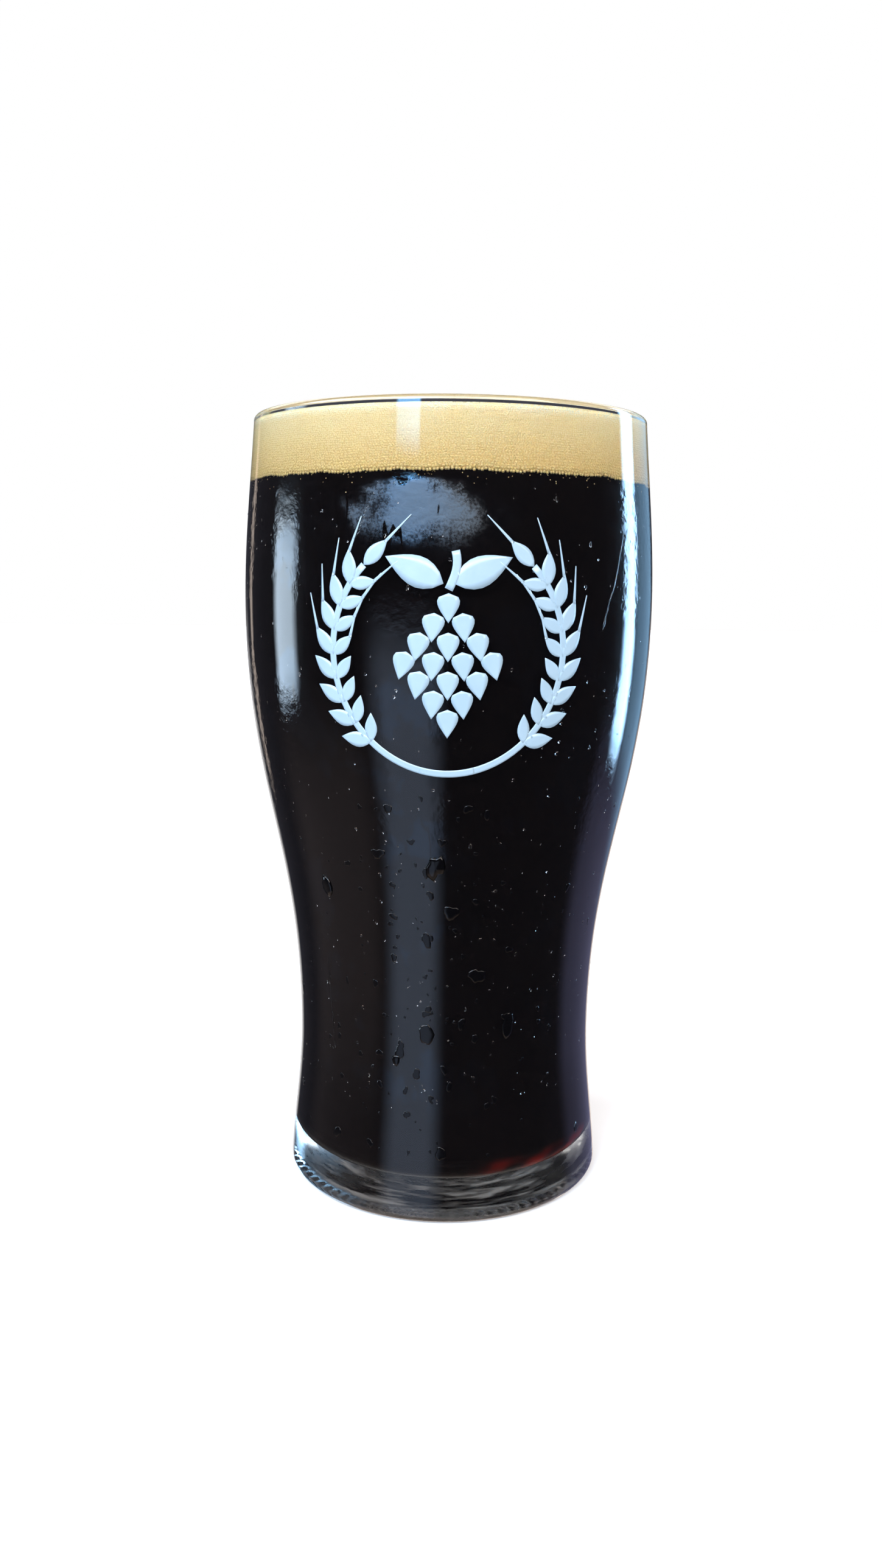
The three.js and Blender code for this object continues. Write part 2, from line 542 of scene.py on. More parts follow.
def foam_side(tree, seam_shade, shade):
    """Tan foam behind the glass, paler above, with painted shade in the seams between bubbles, mottling and
    a painted pale sheen of the hazed glass at the top.
    """
    low, high, seam_shade_low, seam_shade_high, film, mottle = (tuple(colour) for colour in shade * FOAM_SIDE_COLOURS_SHADE_AND_SHEEN)
    height = along(tree, "Z")
    rise = span(tree, height, *FOAM_PALING)
    at_edge = span(tree, height, *HAZE_SHEEN_BAND)
    # Painted sheen: the pale bluish veil of the hazed glass, painted into the foam at its top edge
    base = blend(tree, at_edge, blend(tree, rise, low, high), film)
    mottling = span(tree, noise(tree, 160, detail=4.0), 0.35, 0.75, 0.0, 0.7)
    mottled = blend(tree, mottling, base, mottle)
    # Painted shade in the seams between bubble cells
    return blend(tree, seam_shade, blend(tree, rise, seam_shade_low, seam_shade_high), mottled)


def foam(name, cells_per_metre, depth, shade=1.0):
    """A beer head's creamy foam, with bubble cells of a given fineness, painted shade in their seams and a
    top painted darker against the stronger light on it; shade darkens its side.
    """
    material, tree, shader = new_material(name)
    cells = node(
        tree, "ShaderNodeTexVoronoi", {"Vector": coordinates(tree), "Scale": cells_per_metre},
        feature="DISTANCE_TO_EDGE",
    ).outputs["Distance"]
    # Painted shade: the cell edges, where the seams between bubbles are painted darker
    seam_shade = span(tree, cells, 0.0, 0.22)
    edge = cavity_radius(FOAM_EDGE)
    on_crown = span(tree, vector_length(tree, from_axis(tree)), edge, edge - CROWN_BAND)
    # The top, painted darker as shade against the light from above, with painted shade in its seams
    crown = blend(tree, seam_shade, SHADED_CROWN_SEAM, SHADED_CROWN_COLOUR)
    feed(tree, shader, {
        "Base Color": blend(tree, on_crown, foam_side(tree, seam_shade, shade), crown),
        "Roughness": uneven(tree, 900, 0.35, 0.6),
        "Normal": bump(tree, span(tree, cells, 0.0, 0.4), depth),
        "Subsurface Weight": 0.25,
        "Subsurface Radius": FOAM_SCATTER,
        "Subsurface Scale": FOAM_SCATTER_SCALE,
    })
    return material


def enamel():
    """White screen-printed enamel, with a cold tint and an uneven ink film."""
    material, tree, shader = new_material("white_enamel")
    feed(tree, shader, {
        "Base Color": blend(tree, uneven(tree, 220, 0.0, 1.0, detail=4.0), *ENAMEL_COLOURS),
        "Roughness": uneven(tree, 1500, 0.28, 0.42),
        "Normal": bump(tree, noise(tree, 3500, detail=2.0), 0.02 * MM, 0.4),
    })
    return material


def water():
    """Clear condensation."""
    material, tree, shader = new_material("condensation")
    feed(tree, shader, {
        "Base Color": (0.98, 0.99, 1.0, 1),
        "Transmission Weight": 1.0,
        "IOR": WATER_IOR,
        "Roughness": uneven(tree, 500, 0.0, 0.03, detail=1.0),
    })
    return material


def dark_drops():
    """Drops that lie against the drink and show its black through them, where glass and water join."""
    material, tree, shader = new_material("drops_on_stout")
    feed(tree, shader, {
        "Base Color": blend(tree, noise(tree, 90, detail=2.0), *DARK_DROP_COLOURS),
        "Roughness": uneven(tree, 500, 0.02, 0.08, detail=1.0),
        "IOR": WATER_IOR,
    })
    return material


# The glass and the drink

HOLLOW_FLAT = 1 / 3
HOLLOW_BEND = (0.7, 0.75)
KNURL_STEPS = 4
KNURL_DEPTH = 0.22 * MM
KNURL_INNER = 24 * MM
KNURL_OUTER = 28.6 * MM
KNURL_EDGE = 0.3 * MM
STOUT_RISE = 1.0 * MM


def make_glass():
    """The glass, finely turned, with shallow notches pressed across its standing ring."""
    underside = bezier(
        (POLE_RADIUS, HOLLOW_DEPTH), (RING_INNER_RADIUS * HOLLOW_FLAT, HOLLOW_DEPTH),
        (RING_INNER_RADIUS * HOLLOW_BEND[0], HOLLOW_DEPTH * HOLLOW_BEND[1]),
        (RING_INNER_RADIUS, 0), HOLLOW_STEPS,
    )
    ring = [(r, 0) for r in (KNURL_INNER - KNURL_EDGE, KNURL_INNER, KNURL_OUTER, KNURL_OUTER + KNURL_EDGE)]
    heel = arc((FOOT_RADIUS - HEEL_RADIUS, HEEL_RADIUS), HEEL_RADIUS, -90, 0, HEEL_STEPS)
    lip = arc((RIM_RADIUS - LIP_RADIUS, LIP_HEIGHT), LIP_RADIUS, 0, 180, LIP_STEPS)
    inside = CAVITY[:0:-1]
    floor = [(POLE_RADIUS, BASE_THICKNESS)]
    outline = np.vstack([underside, ring, heel, OUTER_FACE[1:], lip[1:], inside[1:], floor])
    grid = around(outline, TURN_STEPS)
    notch = (np.arange(TURN_STEPS) % KNURL_STEPS) < KNURL_STEPS // 2
    first = len(underside) + 1
    grid[first:first + 2, notch, 2] += KNURL_DEPTH
    return mesh_piece("tulip_glass", *capped(grid), clear_glass())


def make_stout():
    """The drink, up into the underside of the head, where the wavy edge of the foam shows it."""
    outline = cavity(STOUT_REACH)
    top = STOUT_LEVEL + STOUT_RISE
    side = outline[outline[:, 1] < top]
    edge = (np.interp(top, outline[1:, 1], outline[1:, 0]), top)
    outline = np.vstack([[(POLE_RADIUS, side[0, 1])], side[1:], [edge], [(POLE_RADIUS, top)]])
    return mesh_piece("stout_drink", *capped(around(outline, TURN_STEPS // 2)), stout())


# The head

FOAM_CLING = 3.5 * MM
FOAM_SIDE_RINGS = 12
FOAM_TOP_RINGS = 60
FOAM_UNDERSIDE_SHARE = 0.9
SWELL_HEIGHT = 0.16 * MM

# Waves of the head's lower edge: how many round the glass, height and phase
FOAM_WAVES = (
    (1, 0.21 * MM, 2.6),
    (3, 0.126 * MM, 0.6),
    (7, 0.098 * MM, 1.9),
    (17, 0.098 * MM, 0.3),
    (31, 0.07 * MM, 2.0),
)


def foam_line(angle):
    """Height of the uneven lower edge of the head, round the glass."""
    return STOUT_LEVEL + sum(swing * np.sin(waves * angle + phase) for waves, swing, phase in FOAM_WAVES)


def foam_top(radius, angle, edge):
    """Height of the head's top: nearly level, gently uneven and climbing to the wall at the edge."""
    a, b = radius * np.sin(angle) / MM, -radius * np.cos(angle) / MM
    swell = np.sin(0.21 * a + 0.9) * np.cos(0.17 * b) + 0.6 * np.sin(0.43 * b + 0.31 * a)
    climb = np.clip(1 - (edge - radius) / FOAM_CLING, 0, 1) ** 2
    return FOAM_TOP + (FOAM_EDGE - FOAM_TOP) * climb + SWELL_HEIGHT * swell * (1 - climb)


def make_foam():
    """The head: a disc whose side presses on the wall and whose lower edge waves."""
    angle = full_turn(TURN_STEPS)
    low = foam_line(angle)
    rings = []
    for share in np.linspace(0, 1, FOAM_SIDE_RINGS + 1):
        height = low + (FOAM_EDGE - low) * share
        rings.append(turned(cavity_radius(height) + FOAM_REACH, angle, height))
    edge = cavity_radius(FOAM_EDGE) + FOAM_REACH
    for share in np.linspace(0, 1, FOAM_TOP_RINGS + 1)[1:-1]:
        radius = edge * (1 - share)
        rings.append(turned(radius, angle, foam_top(radius, angle, edge)))
    underside = rings[0] * (FOAM_UNDERSIDE_SHARE, FOAM_UNDERSIDE_SHARE, 1)
    grid = np.stack([underside, *rings])
    material = foam("foam_cream", cells_per_metre=2300, depth=0.10 * MM, shade=GAP_SHADE)
    return mesh_piece("foam_head", *capped(grid), material)


# Bubbles in rows along the wall: size at the lower edge and further up, then shares of a bubble's size
BUBBLE_LARGE = 0.62 * MM
BUBBLE_SMALL = 0.40 * MM
BUBBLE_PITCH = 0.98
BUBBLE_ROW = 0.84
BUBBLE_SHIFT = 0.2
BUBBLE_LIFT = 0.18
BUBBLE_RADIUS = (0.5, 0.6)
BUBBLE_FLAT = 0.5
BUBBLE_BURIED = 0.15
BUBBLE_SIDES = 6

# The rows shrink over this share of the head's depth, quickly at first, and stop short of its edge
SHRINK_SHARE = 0.75
SHRINK_POWER = 0.7
ROWS_STOP = 0.3 * MM

# Loose bubbles below the head, in millimetres
LOOSE_BUBBLES = 260
LOOSE_DROP = 0.8
LOOSE_RADIUS = (0.05, 0.12)


def bubble_row(rise, depth, size):
    """Angles, heights and radii of one row of bubbles at a rise above the lower edge."""
    count = int(2 * math.pi * cavity_radius(STOUT_LEVEL + rise) / (size * BUBBLE_PITCH))
    place = np.arange(count) + random.uniform(-BUBBLE_SHIFT, BUBBLE_SHIFT, count) + random.uniform()
    angle = place * 2 * math.pi / count
    follow = (foam_line(angle) - STOUT_LEVEL) * (1 - rise / depth)
    height = STOUT_LEVEL + rise + follow + random.uniform(-BUBBLE_LIFT, BUBBLE_LIFT, count) * size
    return angle, height, size * random.uniform(*BUBBLE_RADIUS, count)


def make_wall_bubbles():
    """Bubbles packed against the wall in rows, largest along the lower edge, with loose ones below it."""
    rows = []
    rise = 0.0
    depth = FOAM_EDGE - STOUT_LEVEL
    while rise < depth - ROWS_STOP:
        share = min(1.0, rise / (SHRINK_SHARE * depth))
        size = BUBBLE_LARGE + (BUBBLE_SMALL - BUBBLE_LARGE) * share**SHRINK_POWER
        rows.append(bubble_row(rise, depth, size))
        rise += size * BUBBLE_ROW
    loose = random.uniform(0, 2 * math.pi, LOOSE_BUBBLES)
    below = foam_line(loose) - random.exponential(LOOSE_DROP, LOOSE_BUBBLES) * MM
    rows.append((loose, below, random.uniform(*LOOSE_RADIUS, LOOSE_BUBBLES) * MM))
    angle, height, size = (np.concatenate(values) for values in zip(*rows))
    axes = wall_axes(angle, np.zeros(len(angle)))
    centre = turned(cavity_radius(height) + FOAM_REACH - BUBBLE_BURIED * size, angle, height)
    vertices, faces = beads(centre, axes, size, BUBBLE_FLAT, BUBBLE_SIDES, PLAIN_BEAD)
    material = foam("foam_bubbles", cells_per_metre=5200, depth=0.03 * MM)
    return mesh_piece("foam_wall_bubbles", vertices, faces, material)


# Bubbles on top, in millimetres: small ones with a gamma spread of radii, and a ring along the wall
TOP_BUBBLES = 2600
TOP_MARGIN = 2.5
TOP_SPREAD = (2.0, 0.085)
TOP_RADIUS = (0.08, 0.8)
RING_BUBBLES = 700
RING_INSET = (0.4, 2.6)
RING_RADIUS = (0.15, 0.5)
TOP_FLAT = 0.7
TOP_BURIED = 0.1
TOP_SIDES = 8


def make_top_bubbles():
    """Bubbles that stand on the head: many small ones all over and a looser ring along the wall."""
    edge = cavity_radius(FOAM_EDGE)
    radius = np.concatenate([
        (edge - TOP_MARGIN * MM) * np.sqrt(random.uniform(0, 1, TOP_BUBBLES)),
        edge - random.uniform(*RING_INSET, RING_BUBBLES) * MM,
    ])
    size = np.concatenate([
        random.gamma(*TOP_SPREAD, TOP_BUBBLES).clip(*TOP_RADIUS) * MM,
        random.uniform(*RING_RADIUS, RING_BUBBLES) * MM,
    ])
    angle = random.uniform(0, 2 * math.pi, len(radius))
    centre = turned(radius, angle, foam_top(radius, angle, edge) - TOP_BURIED * size)
    axes = [np.tile(axis, (len(size), 1)) for axis in np.eye(3)]
    vertices, faces = beads(centre, axes, size, TOP_FLAT, TOP_SIDES, ROUND_BEAD)
    material = foam("foam_top", cells_per_metre=4200, depth=0.03 * MM)
    return mesh_piece("foam_top_bubbles", vertices, faces, material)


# The printed emblem: an open wreath of two barley ears round a hop cone, drawn flat and wrapped on the glass

EMBLEM_HEIGHT = 109 * MM
EMBLEM_LIFT = 0.06 * MM
RIBBON_ROWS = 5
LEAF_STEPS = 8
LEAF_TIP = 0.04 * MM
STEM_WIDTH = 1.2 * MM

# Barley ears: angles along the wreath are in degrees from its bottom, leans in degrees from the stem
WREATH_RADIUS = 21 * MM
STEM_START = -14
STEM_STEPS = 40
EAR_START = 42
EAR_PITCH = 11.6
EAR_GRAINS = 8
GRAIN_LENGTH = 6.0 * MM
GRAIN_WIDTH = 2.7 * MM
GRAIN_BLUNT = 0.85
GRAIN_LEANS = ((36, 1.0), (-50, 0.85))
TIP_LEANS = ((0, 1.0),)
AWN_LENGTH = 6.5 * MM
AWN_WIDTH = 0.55 * MM
AWN_STEPS = 7
AWN_START = 0.9
AWN_LEAN = 0.35
AWN_TAPER = 0.75

# Hop cone: rows of bracts that fan out by degrees per millimetre, a bent stalk and two leaves
CONE_TOP = 10.2 * MM
CONE_COUNTS = (1, 2, 3, 4, 3, 2, 1)
CONE_PITCH = 3.3 * MM
CONE_FAN = 2.2
BRACT_LENGTH = 5.0 * MM
BRACT_PITCH = 4.8 * MM
BRACT_WIDTH = 3.84 * MM
BRACT_BLUNT = 0.55
STALK_START = 0.6 * MM
STALK_LENGTH = 6.5 * MM
STALK_WIDTH = 1.44 * MM
STALK_BEND = 1.4 * MM
STALK_TURN = 2.2
HOP_LEAF_START = (0.9 * MM, 1.6 * MM)
HOP_LEAF_LEAN = 66
HOP_LEAF_LENGTH = 11 * MM
HOP_LEAF_WIDTH = 5.2 * MM
HOP_LEAF_BLUNT = 0.8


def ribbon(line, width):
    """A flat strip along a line of points, as a grid of points along by rows across."""
    line = np.asarray(line, float)
    forward = np.gradient(line, axis=0)
    forward /= np.linalg.norm(forward, axis=1, keepdims=True)
    side = np.stack([-forward[:, 1], forward[:, 0]], axis=1)
    shares = np.linspace(-0.5, 0.5, RIBBON_ROWS)
    return np.stack([line + side * (np.asarray(width)[:, None] * s) for s in shares], axis=1)


def heading(angle):
    """The unit vector of a direction in degrees from straight up."""
    return np.array((math.sin(math.radians(angle)), math.cos(math.radians(angle))))


def leaf(start, direction, length, width, blunt):
    """A pointed oval from a start point along a direction, in degrees from straight up."""
    t = np.linspace(0, 1, LEAF_STEPS + 1)
    line = np.array(start) + np.outer(t * length, heading(direction))
    return ribbon(line, width * np.sin(math.pi * t**blunt) + LEAF_TIP)


def wreath_point(angle):
    """A point on the wreath's circle and the direction of travel there; angle in degrees from the bottom."""
    a = math.radians(angle)
    return np.array((math.sin(a), -math.cos(a))) * WREATH_RADIUS, 90 - angle


def awn(start, direction, lean, share):
    """A bristle from the tip of a grain, that turns towards the way the stem runs."""
    t = np.linspace(0, 1, AWN_STEPS)
    tip = start + AWN_START * GRAIN_LENGTH * share * heading(direction + lean)
    line = tip + np.outer(t * AWN_LENGTH * share, heading(direction + AWN_LEAN * lean))
    return ribbon(line, AWN_WIDTH * (1 - AWN_TAPER * t))


def barley_ear(side):
    """One ear on one side: a stem along the wreath, grains on both sides of it, awns on the upper grains."""
    stem = np.linspace(STEM_START, EAR_START + EAR_PITCH * EAR_GRAINS, STEM_STEPS)
    points = np.array([wreath_point(angle)[0] for angle in stem])
    strips = [ribbon(points, np.full(len(points), STEM_WIDTH))]
    for i in range(EAR_GRAINS + 1):
        point, direction = wreath_point(EAR_START + EAR_PITCH * i)
        for lean, share in GRAIN_LEANS if i < EAR_GRAINS else TIP_LEANS:
            grain = leaf(point, direction + lean, GRAIN_LENGTH * share, GRAIN_WIDTH * share, GRAIN_BLUNT)
            strips.append(grain)
            if i >= EAR_GRAINS // 2:
                strips.append(awn(point, direction, lean, share))
    return [strip * (side, 1) for strip in strips]


def hop_cone():
    """A hop cone of bracts in staggered rows, narrow at both ends, under a stalk with two leaves."""
    strips = []
    for row, count in enumerate(CONE_COUNTS):
        for i in range(count):
            x = (i - (count - 1) / 2) * BRACT_PITCH
            start = (x, CONE_TOP - row * CONE_PITCH)
            strips.append(leaf(start, 180 - x / MM * CONE_FAN, BRACT_LENGTH, BRACT_WIDTH, BRACT_BLUNT))
    t = np.linspace(0, 1, LEAF_STEPS + 1)
    stalk = np.c_[STALK_BEND * np.sin(STALK_TURN * t), CONE_TOP + STALK_START + STALK_LENGTH * t]
    strips.append(ribbon(stalk, np.full(len(t), STALK_WIDTH)))
    for side in (-1, 1):
        start = (side * HOP_LEAF_START[0], CONE_TOP + HOP_LEAF_START[1])
        strips.append(leaf(start, side * HOP_LEAF_LEAN, HOP_LEAF_LENGTH, HOP_LEAF_WIDTH, HOP_LEAF_BLUNT))
    return strips


def runs_backwards(strip):
    """Whether a strip's rows run the other way round, as on a mirrored ear."""
    a, b, c = strip[0, 0], strip[0, -1], strip[len(strip) // 2, 0]
    return (b[0] - a[0]) * (c[1] - a[1]) - (b[1] - a[1]) * (c[0] - a[0]) < 0


def film_faces(rows, columns):
    """Quads of a closed film with a front and a back grid of points: both sides and the rim."""
    back = rows * columns
    index = np.arange(back).reshape(rows, columns)
    faces = []
    for i in range(rows - 1):
        for j in range(columns - 1):
            quad = [index[i, j], index[i, j + 1], index[i + 1, j + 1], index[i + 1, j]]
            faces += [quad, [back + corner for corner in quad[::-1]]]
    rim = [*index[0, :-1], *index[:-1, -1], *index[-1, :0:-1], *index[:0:-1, 0]]
    for a, b in zip(rim, [*rim[1:], rim[0]]):
        faces.append([a, back + a, back + b, b])
    return np.array(faces)


def make_emblem():
    """The emblem's strips, wrapped on the outer face and given the thickness of an ink film."""
    vertices, faces = [], []
    first = 0
    for strip in [*barley_ear(-1), *barley_ear(1), *hop_cone()]:
        across, up = strip.reshape(-1, 2).T
        height = EMBLEM_HEIGHT + up
        for lift in (EMBLEM_LIFT, -EMBLEM_LIFT):
            vertices.append(turned(outer_radius(height) + lift, across / BELLY_RADIUS, height))
        quads = first + film_faces(*strip.shape[:2])
        faces.append(quads[:, ::-1] if runs_backwards(strip) else quads)
        first += 2 * len(height)
    return mesh_piece("printed_emblem", np.concatenate(vertices), np.concatenate(faces), enamel())


# Condensation: drops on the outer face, with uneven outlines

DROP_RINGS = ((0.55, 0.95), (0.84, 0.6), (1.0, 0.0))
DROP_LOBES = ((2, 0.34), (3, 0.26), (5, 0.14))
DROP_STRETCH = (0.8, 1.8)
DROP_HEIGHT = 0.05
TALL_DROP_HEIGHT = 0.3
TALL_DROP_SHARE = 0.05
DROP_SINK = 0.4

# Fine drops, in millimetres: between two heights, with a gamma spread of radii
FINE_DROPS = 1300
FINE_DROP_SIDES = 8
FINE_DROP_HEIGHTS = (22, 137)
FINE_DROP_SPREAD = (2.2, 0.06)
FINE_DROP_RADIUS = (0.06, 0.3)

# Large drops likewise; those near the front have a normal spread of angle, in radians
LARGE_DROPS = 190
NEAR_DROPS = 114
DROP_SIDES = 14
NEAR_ANGLE = (-0.2, 0.34)
LARGE_DROP_HEIGHTS = (13, 84)
LARGE_DROP_SPREAD = (1.6, 0.26)
LARGE_DROP_RADIUS = (0.2, 1.5)
HANGING_DROP = (math.radians(-42), 64.5 * MM, 1.3 * MM)


def fine_drops():
    """Angle, height and size of the fine drops, all over the bowl."""
    angle = random.uniform(-math.pi, math.pi, FINE_DROPS)
    height = random.uniform(*FINE_DROP_HEIGHTS, FINE_DROPS) * MM
    return angle, height, random.gamma(*FINE_DROP_SPREAD, FINE_DROPS).clip(*FINE_DROP_RADIUS) * MM


def large_drops():
    """Angle, height and size of the larger drops below the emblem, mostly in front, and of a hanging one."""
    near = random.normal(*NEAR_ANGLE, NEAR_DROPS)
    angle = np.concatenate([near, random.uniform(-math.pi, math.pi, LARGE_DROPS - NEAR_DROPS)])
    height = random.uniform(*LARGE_DROP_HEIGHTS, LARGE_DROPS) * MM
    size = random.gamma(*LARGE_DROP_SPREAD, LARGE_DROPS).clip(*LARGE_DROP_RADIUS) * MM
    return tuple(np.append(values, one) for values, one in zip((angle, height, size), HANGING_DROP))


def drop_outlines(count, sides):
    """Uneven outlines, as a radius for each drop and side: lobes of a few sizes and a random turn each."""
    outline = np.ones((count, sides))
    for lobes, swing in DROP_LOBES:
        phase = random.uniform(0, 2 * math.pi, (count, 1))
        outline += random.uniform(0, swing, (count, 1)) * np.sin(lobes * full_turn(sides) + phase)
    return outline


def make_drops(name, places, sides, material):
    """Drops as low closed caps with a flat crown and an uneven outline, sunk a little into the glass."""
    angle, height, size = places
    count = len(size)
    across, up, out = wall_axes(angle, outer_lean(height))
    centre = turned(outer_radius(height), angle, height)
    turn = full_turn(sides)[:, None]
    stretch = random.uniform(*DROP_STRETCH, count)[:, None, None]
    flat = np.cos(turn) * across[:, None, :] + np.sin(turn) * up[:, None, :] * stretch
    flat = flat * (drop_outlines(count, sides) * size[:, None])[:, :, None]
    tall = random.uniform(0, 1, count) < TALL_DROP_SHARE
    tall[-1] = True
    thick = (np.where(tall, TALL_DROP_HEIGHT, DROP_HEIGHT) * size)[:, None, None] * out[:, None, :]
    middle = centre[:, None, :]
    rings = [middle + flat * share + thick * rise for share, rise in DROP_RINGS]
    vertices = np.concatenate([middle + thick, *rings, middle - thick * DROP_SINK], axis=1)
    return mesh_piece(name, vertices.reshape(-1, 3), cap_faces(count, sides, len(DROP_RINGS)), material)


# Runs that drops leave: bearing at the top and at the bottom, in degrees, then the two heights and the width
RUNS = (
    (52, 43, 130.5 * MM, 113 * MM, 0.8 * MM),
    (-47, -45, 50 * MM, 31 * MM, 0.6 * MM),
    (-20, -24, 134 * MM, 128 * MM, 0.6 * MM),
    (96, 92, 128 * MM, 88 * MM, 0.8 * MM),
    (165, 169, 126 * MM, 70 * MM, 0.9 * MM),
    (-118, -112, 132 * MM, 96 * MM, 0.8 * MM),
)
RUN_STEPS = 48
RUN_SIDES = 7
RUN_HEIGHT = 0.3
RUN_SINK = 0.4
RUN_WANDER = 0.35 * MM
RUN_WIDTH = 0.3
RUN_UNEVEN = 0.25
RUN_DROP_PLACE = 0.95
RUN_DROP_LENGTH = 0.03
RUN_START = 8
RUN_END = 12


def run_widths(share, width):
    """Half widths along a run: thin and uneven, with a drop near its end, and closing at both ends."""
    drop = np.exp(-(((share - RUN_DROP_PLACE) / RUN_DROP_LENGTH) ** 2))
    swell = RUN_WIDTH + RUN_UNEVEN * random.uniform(0, 1, RUN_STEPS) + drop
    ends = np.sqrt(np.clip(1 - share**RUN_END, 0, 1)) * np.sqrt(np.clip(share * RUN_START, 0, 1))
    return width / 2 * swell * ends


def make_runs():
    """Narrow crooked trails of water that end in a drop, as closed low ridges on the outer face."""
    vertices, faces = [], []
    share = np.linspace(0, 1, RUN_STEPS)
    across = np.linspace(-1, 1, RUN_SIDES)
    section = np.concatenate([np.c_[across, 1 - across**2], [(0, -RUN_SINK)]])
    sides = len(section)
    last = (RUN_STEPS - 1) * sides
    for top_bearing, low_bearing, top, low, width in RUNS:
        wander = np.cumsum(random.normal(0, 1, RUN_STEPS))
        wander = RUN_WANDER * (wander - share * wander[-1]) / np.abs(wander).max()
        height = (top + (low - top) * share)[:, None]
        radius = outer_radius(height)
        angle = np.radians(top_bearing + (low_bearing - top_bearing) * share) + wander / radius[:, 0]
        half = run_widths(share, width)[:, None]
        out = radius + RUN_HEIGHT * half * section[:, 1]
        grid = turned(out, angle[:, None] + half * section[:, 0] / radius, height)
        first = len(vertices)
        vertices += grid.reshape(-1, 3).tolist()
        faces += [tuple(first + i for i in quad[::-1]) for quad in ring_faces(RUN_STEPS, sides)]
        faces.append(tuple(first + i for i in range(sides)))
        faces.append(tuple(first + last + i for i in range(sides))[::-1])
    return mesh_piece("condensation_runs", vertices, faces, water())


# Floor, light and camera

FLOOR_REACH = 3.0
FLOOR_COLOURS = ((0.58, 0.58, 0.58), (0.60, 0.60, 0.60))


def make_floor():
    """A wide plain pale floor, which glass and mirrors don't see."""
    corners = [(x * FLOOR_REACH, y * FLOOR_REACH, 0) for x, y in ((-1, -1), (1, -1), (1, 1), (-1, 1))]
    mesh = bpy.data.meshes.new("floor")
    mesh.from_pydata(corners, [], [(0, 1, 2, 3)])
    floor = bpy.data.objects.new("floor", mesh)
    bpy.context.scene.collection.objects.link(floor)
    material, tree, shader = new_material("pale_floor")
    feed(tree, shader, {
        "Base Color": blend(tree, noise(tree, 4, detail=2.0), *FLOOR_COLOURS),
        "Roughness": 0.7,
        "Specular IOR Level": 0.2,
    })
    mesh.materials.append(material)
    floor.visible_glossy = False
    floor.visible_transmission = False


# Soft panels of the room: name, span of bearing and of elevation, softness in degrees, brightness by colour
ROOM_PANELS = (
    ("window_left", (-110, -93), (-11, 7), 3, (5.7, 7.1, 8.5)),
    ("window_left_far", (-146, -142), (-14, 8), 2, (1.2, 1.0, 0.85)),
    ("window_right", (114, 126), (-15, 30), 3, (7.9, 13.6, 20.4)),
    ("window_right_far", (128, 156), (-15, 30), 4, (0.36, 0.70, 1.08)),
    ("window_high", (-30, -17), (15.9, 45), 1, (4.6, 11.6, 20.4)),
    ("band_front", (-42, -6), (-60, -6), 8, (0.75, 0.92, 1.25)),
    ("band_left", (-115, -50), (-60, -18), 12, (0.20, 0.165, 0.16)),
    ("edge_right", (105, 160), (-50, -16), 8, (0.20, 0.20, 0.36)),
    ("table_left", (-190, -156), (-50, -4), 5, (1.0, 0.97, 0.95)),
    ("table_right", (160, 190), (-50, -4), 5, (1.0, 0.85, 0.75)),
    ("softbox_left", (-98, -6), (22, 54), 5, (9.5, 10.2, 11.3)),
    ("softbox_right", (-6, 62), (22, 54), 5, (11.1, 10.0, 9.2)),
    ("softbox_back_left", (-188, -125), (24, 46), 6, (2.6, 2.5, 2.4)),
    ("softbox_back_right", (125, 188), (24, 46), 6, (2.6, 2.5, 2.4)),
    ("table_below", (-190, 190), (-95, -45), 6, (0.60, 0.46, 0.36)),
    ("ceiling", (-180, 180), (78, 90), 6, (1.5, 1.5, 1.5)),
)
ROOM_DIM = (0.05, 0.05, 0.065)
BACKDROP = (1.0, 1.0, 1.0, 1)


def within(tree, value, low, high, soft):
    """How far a value lies inside a span, with soft ends."""
    above = span(tree, value, low - soft, low + soft)
    below = span(tree, value, high + soft, high - soft)
    return product(tree, above, below)


def bearing_and_elevation(tree):
    """Direction from the glass in degrees: bearing from the camera's side, right positive, and elevation."""
    generated = node(tree, "ShaderNodeTexCoord", {}).outputs["Generated"]
    direction = node(tree, "ShaderNodeSeparateXYZ", {0: generated}).outputs
    front = product(tree, direction["Y"], -1.0)
    bearing = math_node(tree, "DEGREES", math_node(tree, "ARCTAN2", direction["X"], front))
    return bearing, math_node(tree, "DEGREES", math_node(tree, "ARCSINE", direction["Z"]))


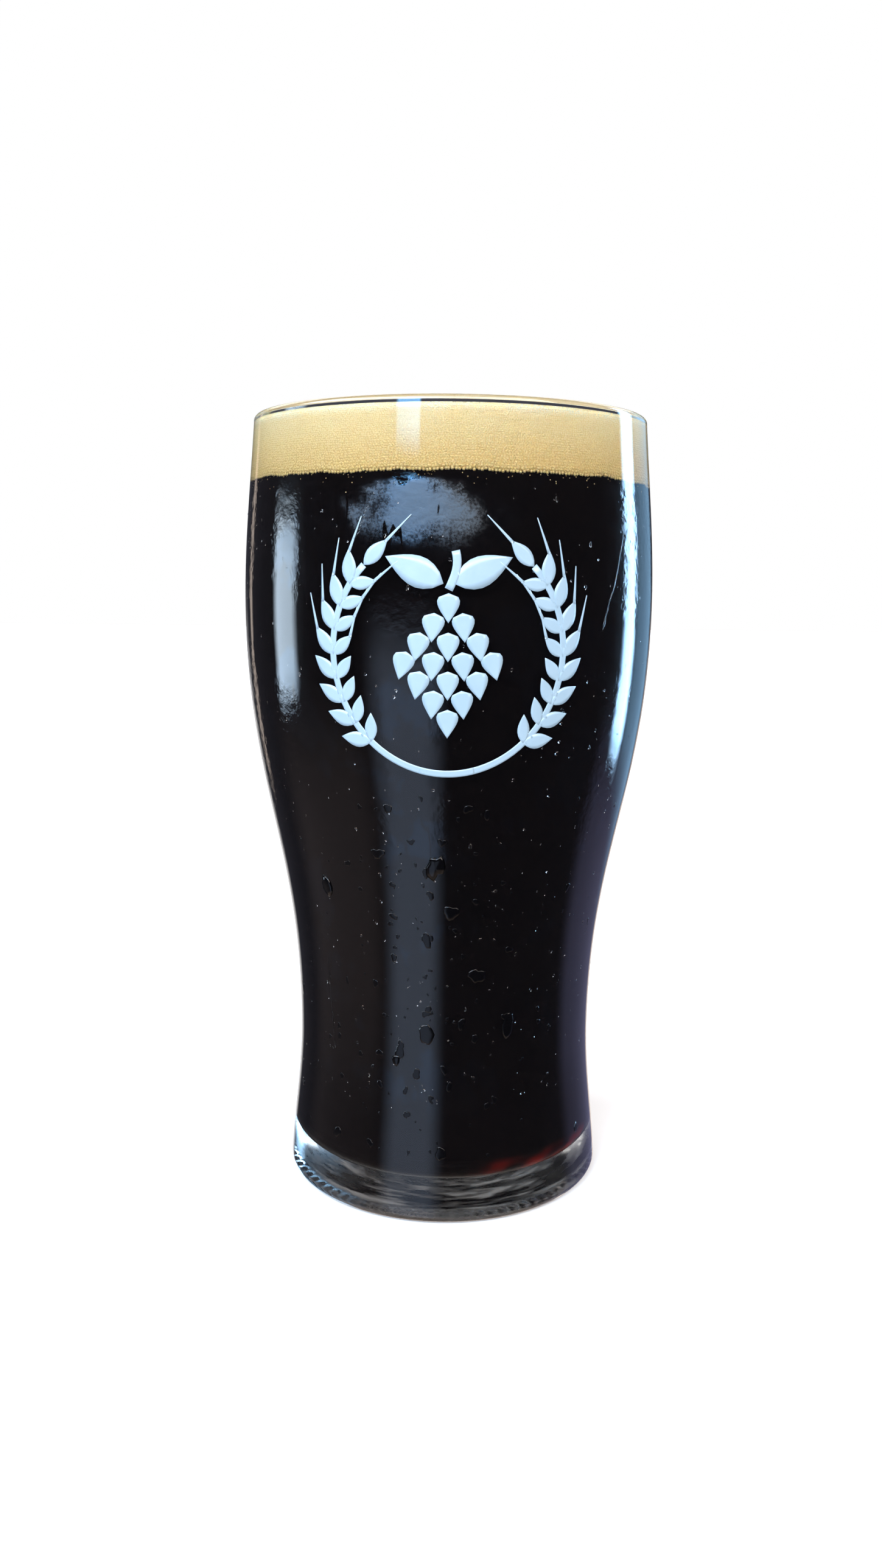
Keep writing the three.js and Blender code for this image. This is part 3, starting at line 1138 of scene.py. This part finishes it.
def room_light(tree):
    """Light of the dim room and its soft panels, by direction."""
    bearing, elevation = bearing_and_elevation(tree)
    light = vector_math(tree, "ADD", ROOM_DIM)
    for name, bearings, elevations, soft, brightness in ROOM_PANELS:
        share = product(
            tree, within(tree, bearing, *bearings, soft), within(tree, elevation, *elevations, soft)
        )
        inputs = {0: brightness, "Scale": share}
        panel = node(tree, "ShaderNodeVectorMath", inputs, operation="SCALE", label=name)
        light = vector_math(tree, "ADD", light, panel.outputs[0])
    return light


def make_world():
    """A white backdrop to the eye; to light, mirror and glass, a dim room with soft panels."""
    world = bpy.data.worlds.new("room")
    bpy.context.scene.world = world
    world.use_nodes = True
    tree = world.node_tree
    tree.nodes.clear()
    room = node(tree, "ShaderNodeBackground", {"Color": room_light(tree)}).outputs[0]
    backdrop = node(tree, "ShaderNodeBackground", {"Color": BACKDROP}).outputs[0]
    to_eye = node(tree, "ShaderNodeLightPath", {}).outputs["Is Camera Ray"]
    mix = node(tree, "ShaderNodeMixShader", {0: to_eye, 1: room, 2: backdrop}).outputs[0]
    node(tree, "ShaderNodeOutputWorld", {"Surface": mix})


def make_camera():
    """The photograph's viewpoint, a little below the rim and close to the glass."""
    data = bpy.data.cameras.new("photo_view")
    data.sensor_width = SENSOR
    data.lens = FOCAL_PIXELS / FRAME_HEIGHT * SENSOR
    data.clip_start, data.clip_end = CAMERA_CLIP
    camera = bpy.data.objects.new("photo_view", data)
    camera.matrix_world = (
        Matrix.Translation((0, -CAMERA_DISTANCE, CAMERA_HEIGHT))
        @ Matrix.Rotation(CAMERA_YAW, 4, "Z")
        @ Matrix.Rotation(math.pi / 2 - CAMERA_PITCH, 4, "X")
        @ Matrix.Rotation(CAMERA_ROLL, 4, "Z")
    )
    bpy.context.scene.collection.objects.link(camera)
    bpy.context.scene.camera = camera


def main():
    """Makes every piece, in the order of the random draws, and then the stage."""
    make_camera()
    glass = make_glass()
    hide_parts("glass")
    drink = make_stout()
    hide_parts("stout")
    head = make_foam()
    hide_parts("foam")
    for piece in (head, make_wall_bubbles(), make_top_bubbles()):
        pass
    make_emblem()
    make_drops("condensation_drops", large_drops(), DROP_SIDES, dark_drops())
    make_drops("condensation_fine", fine_drops(), FINE_DROP_SIDES, water())
    make_runs()
    make_floor()
    make_world()
    bpy.context.scene.view_settings.view_transform = "Standard"


main()
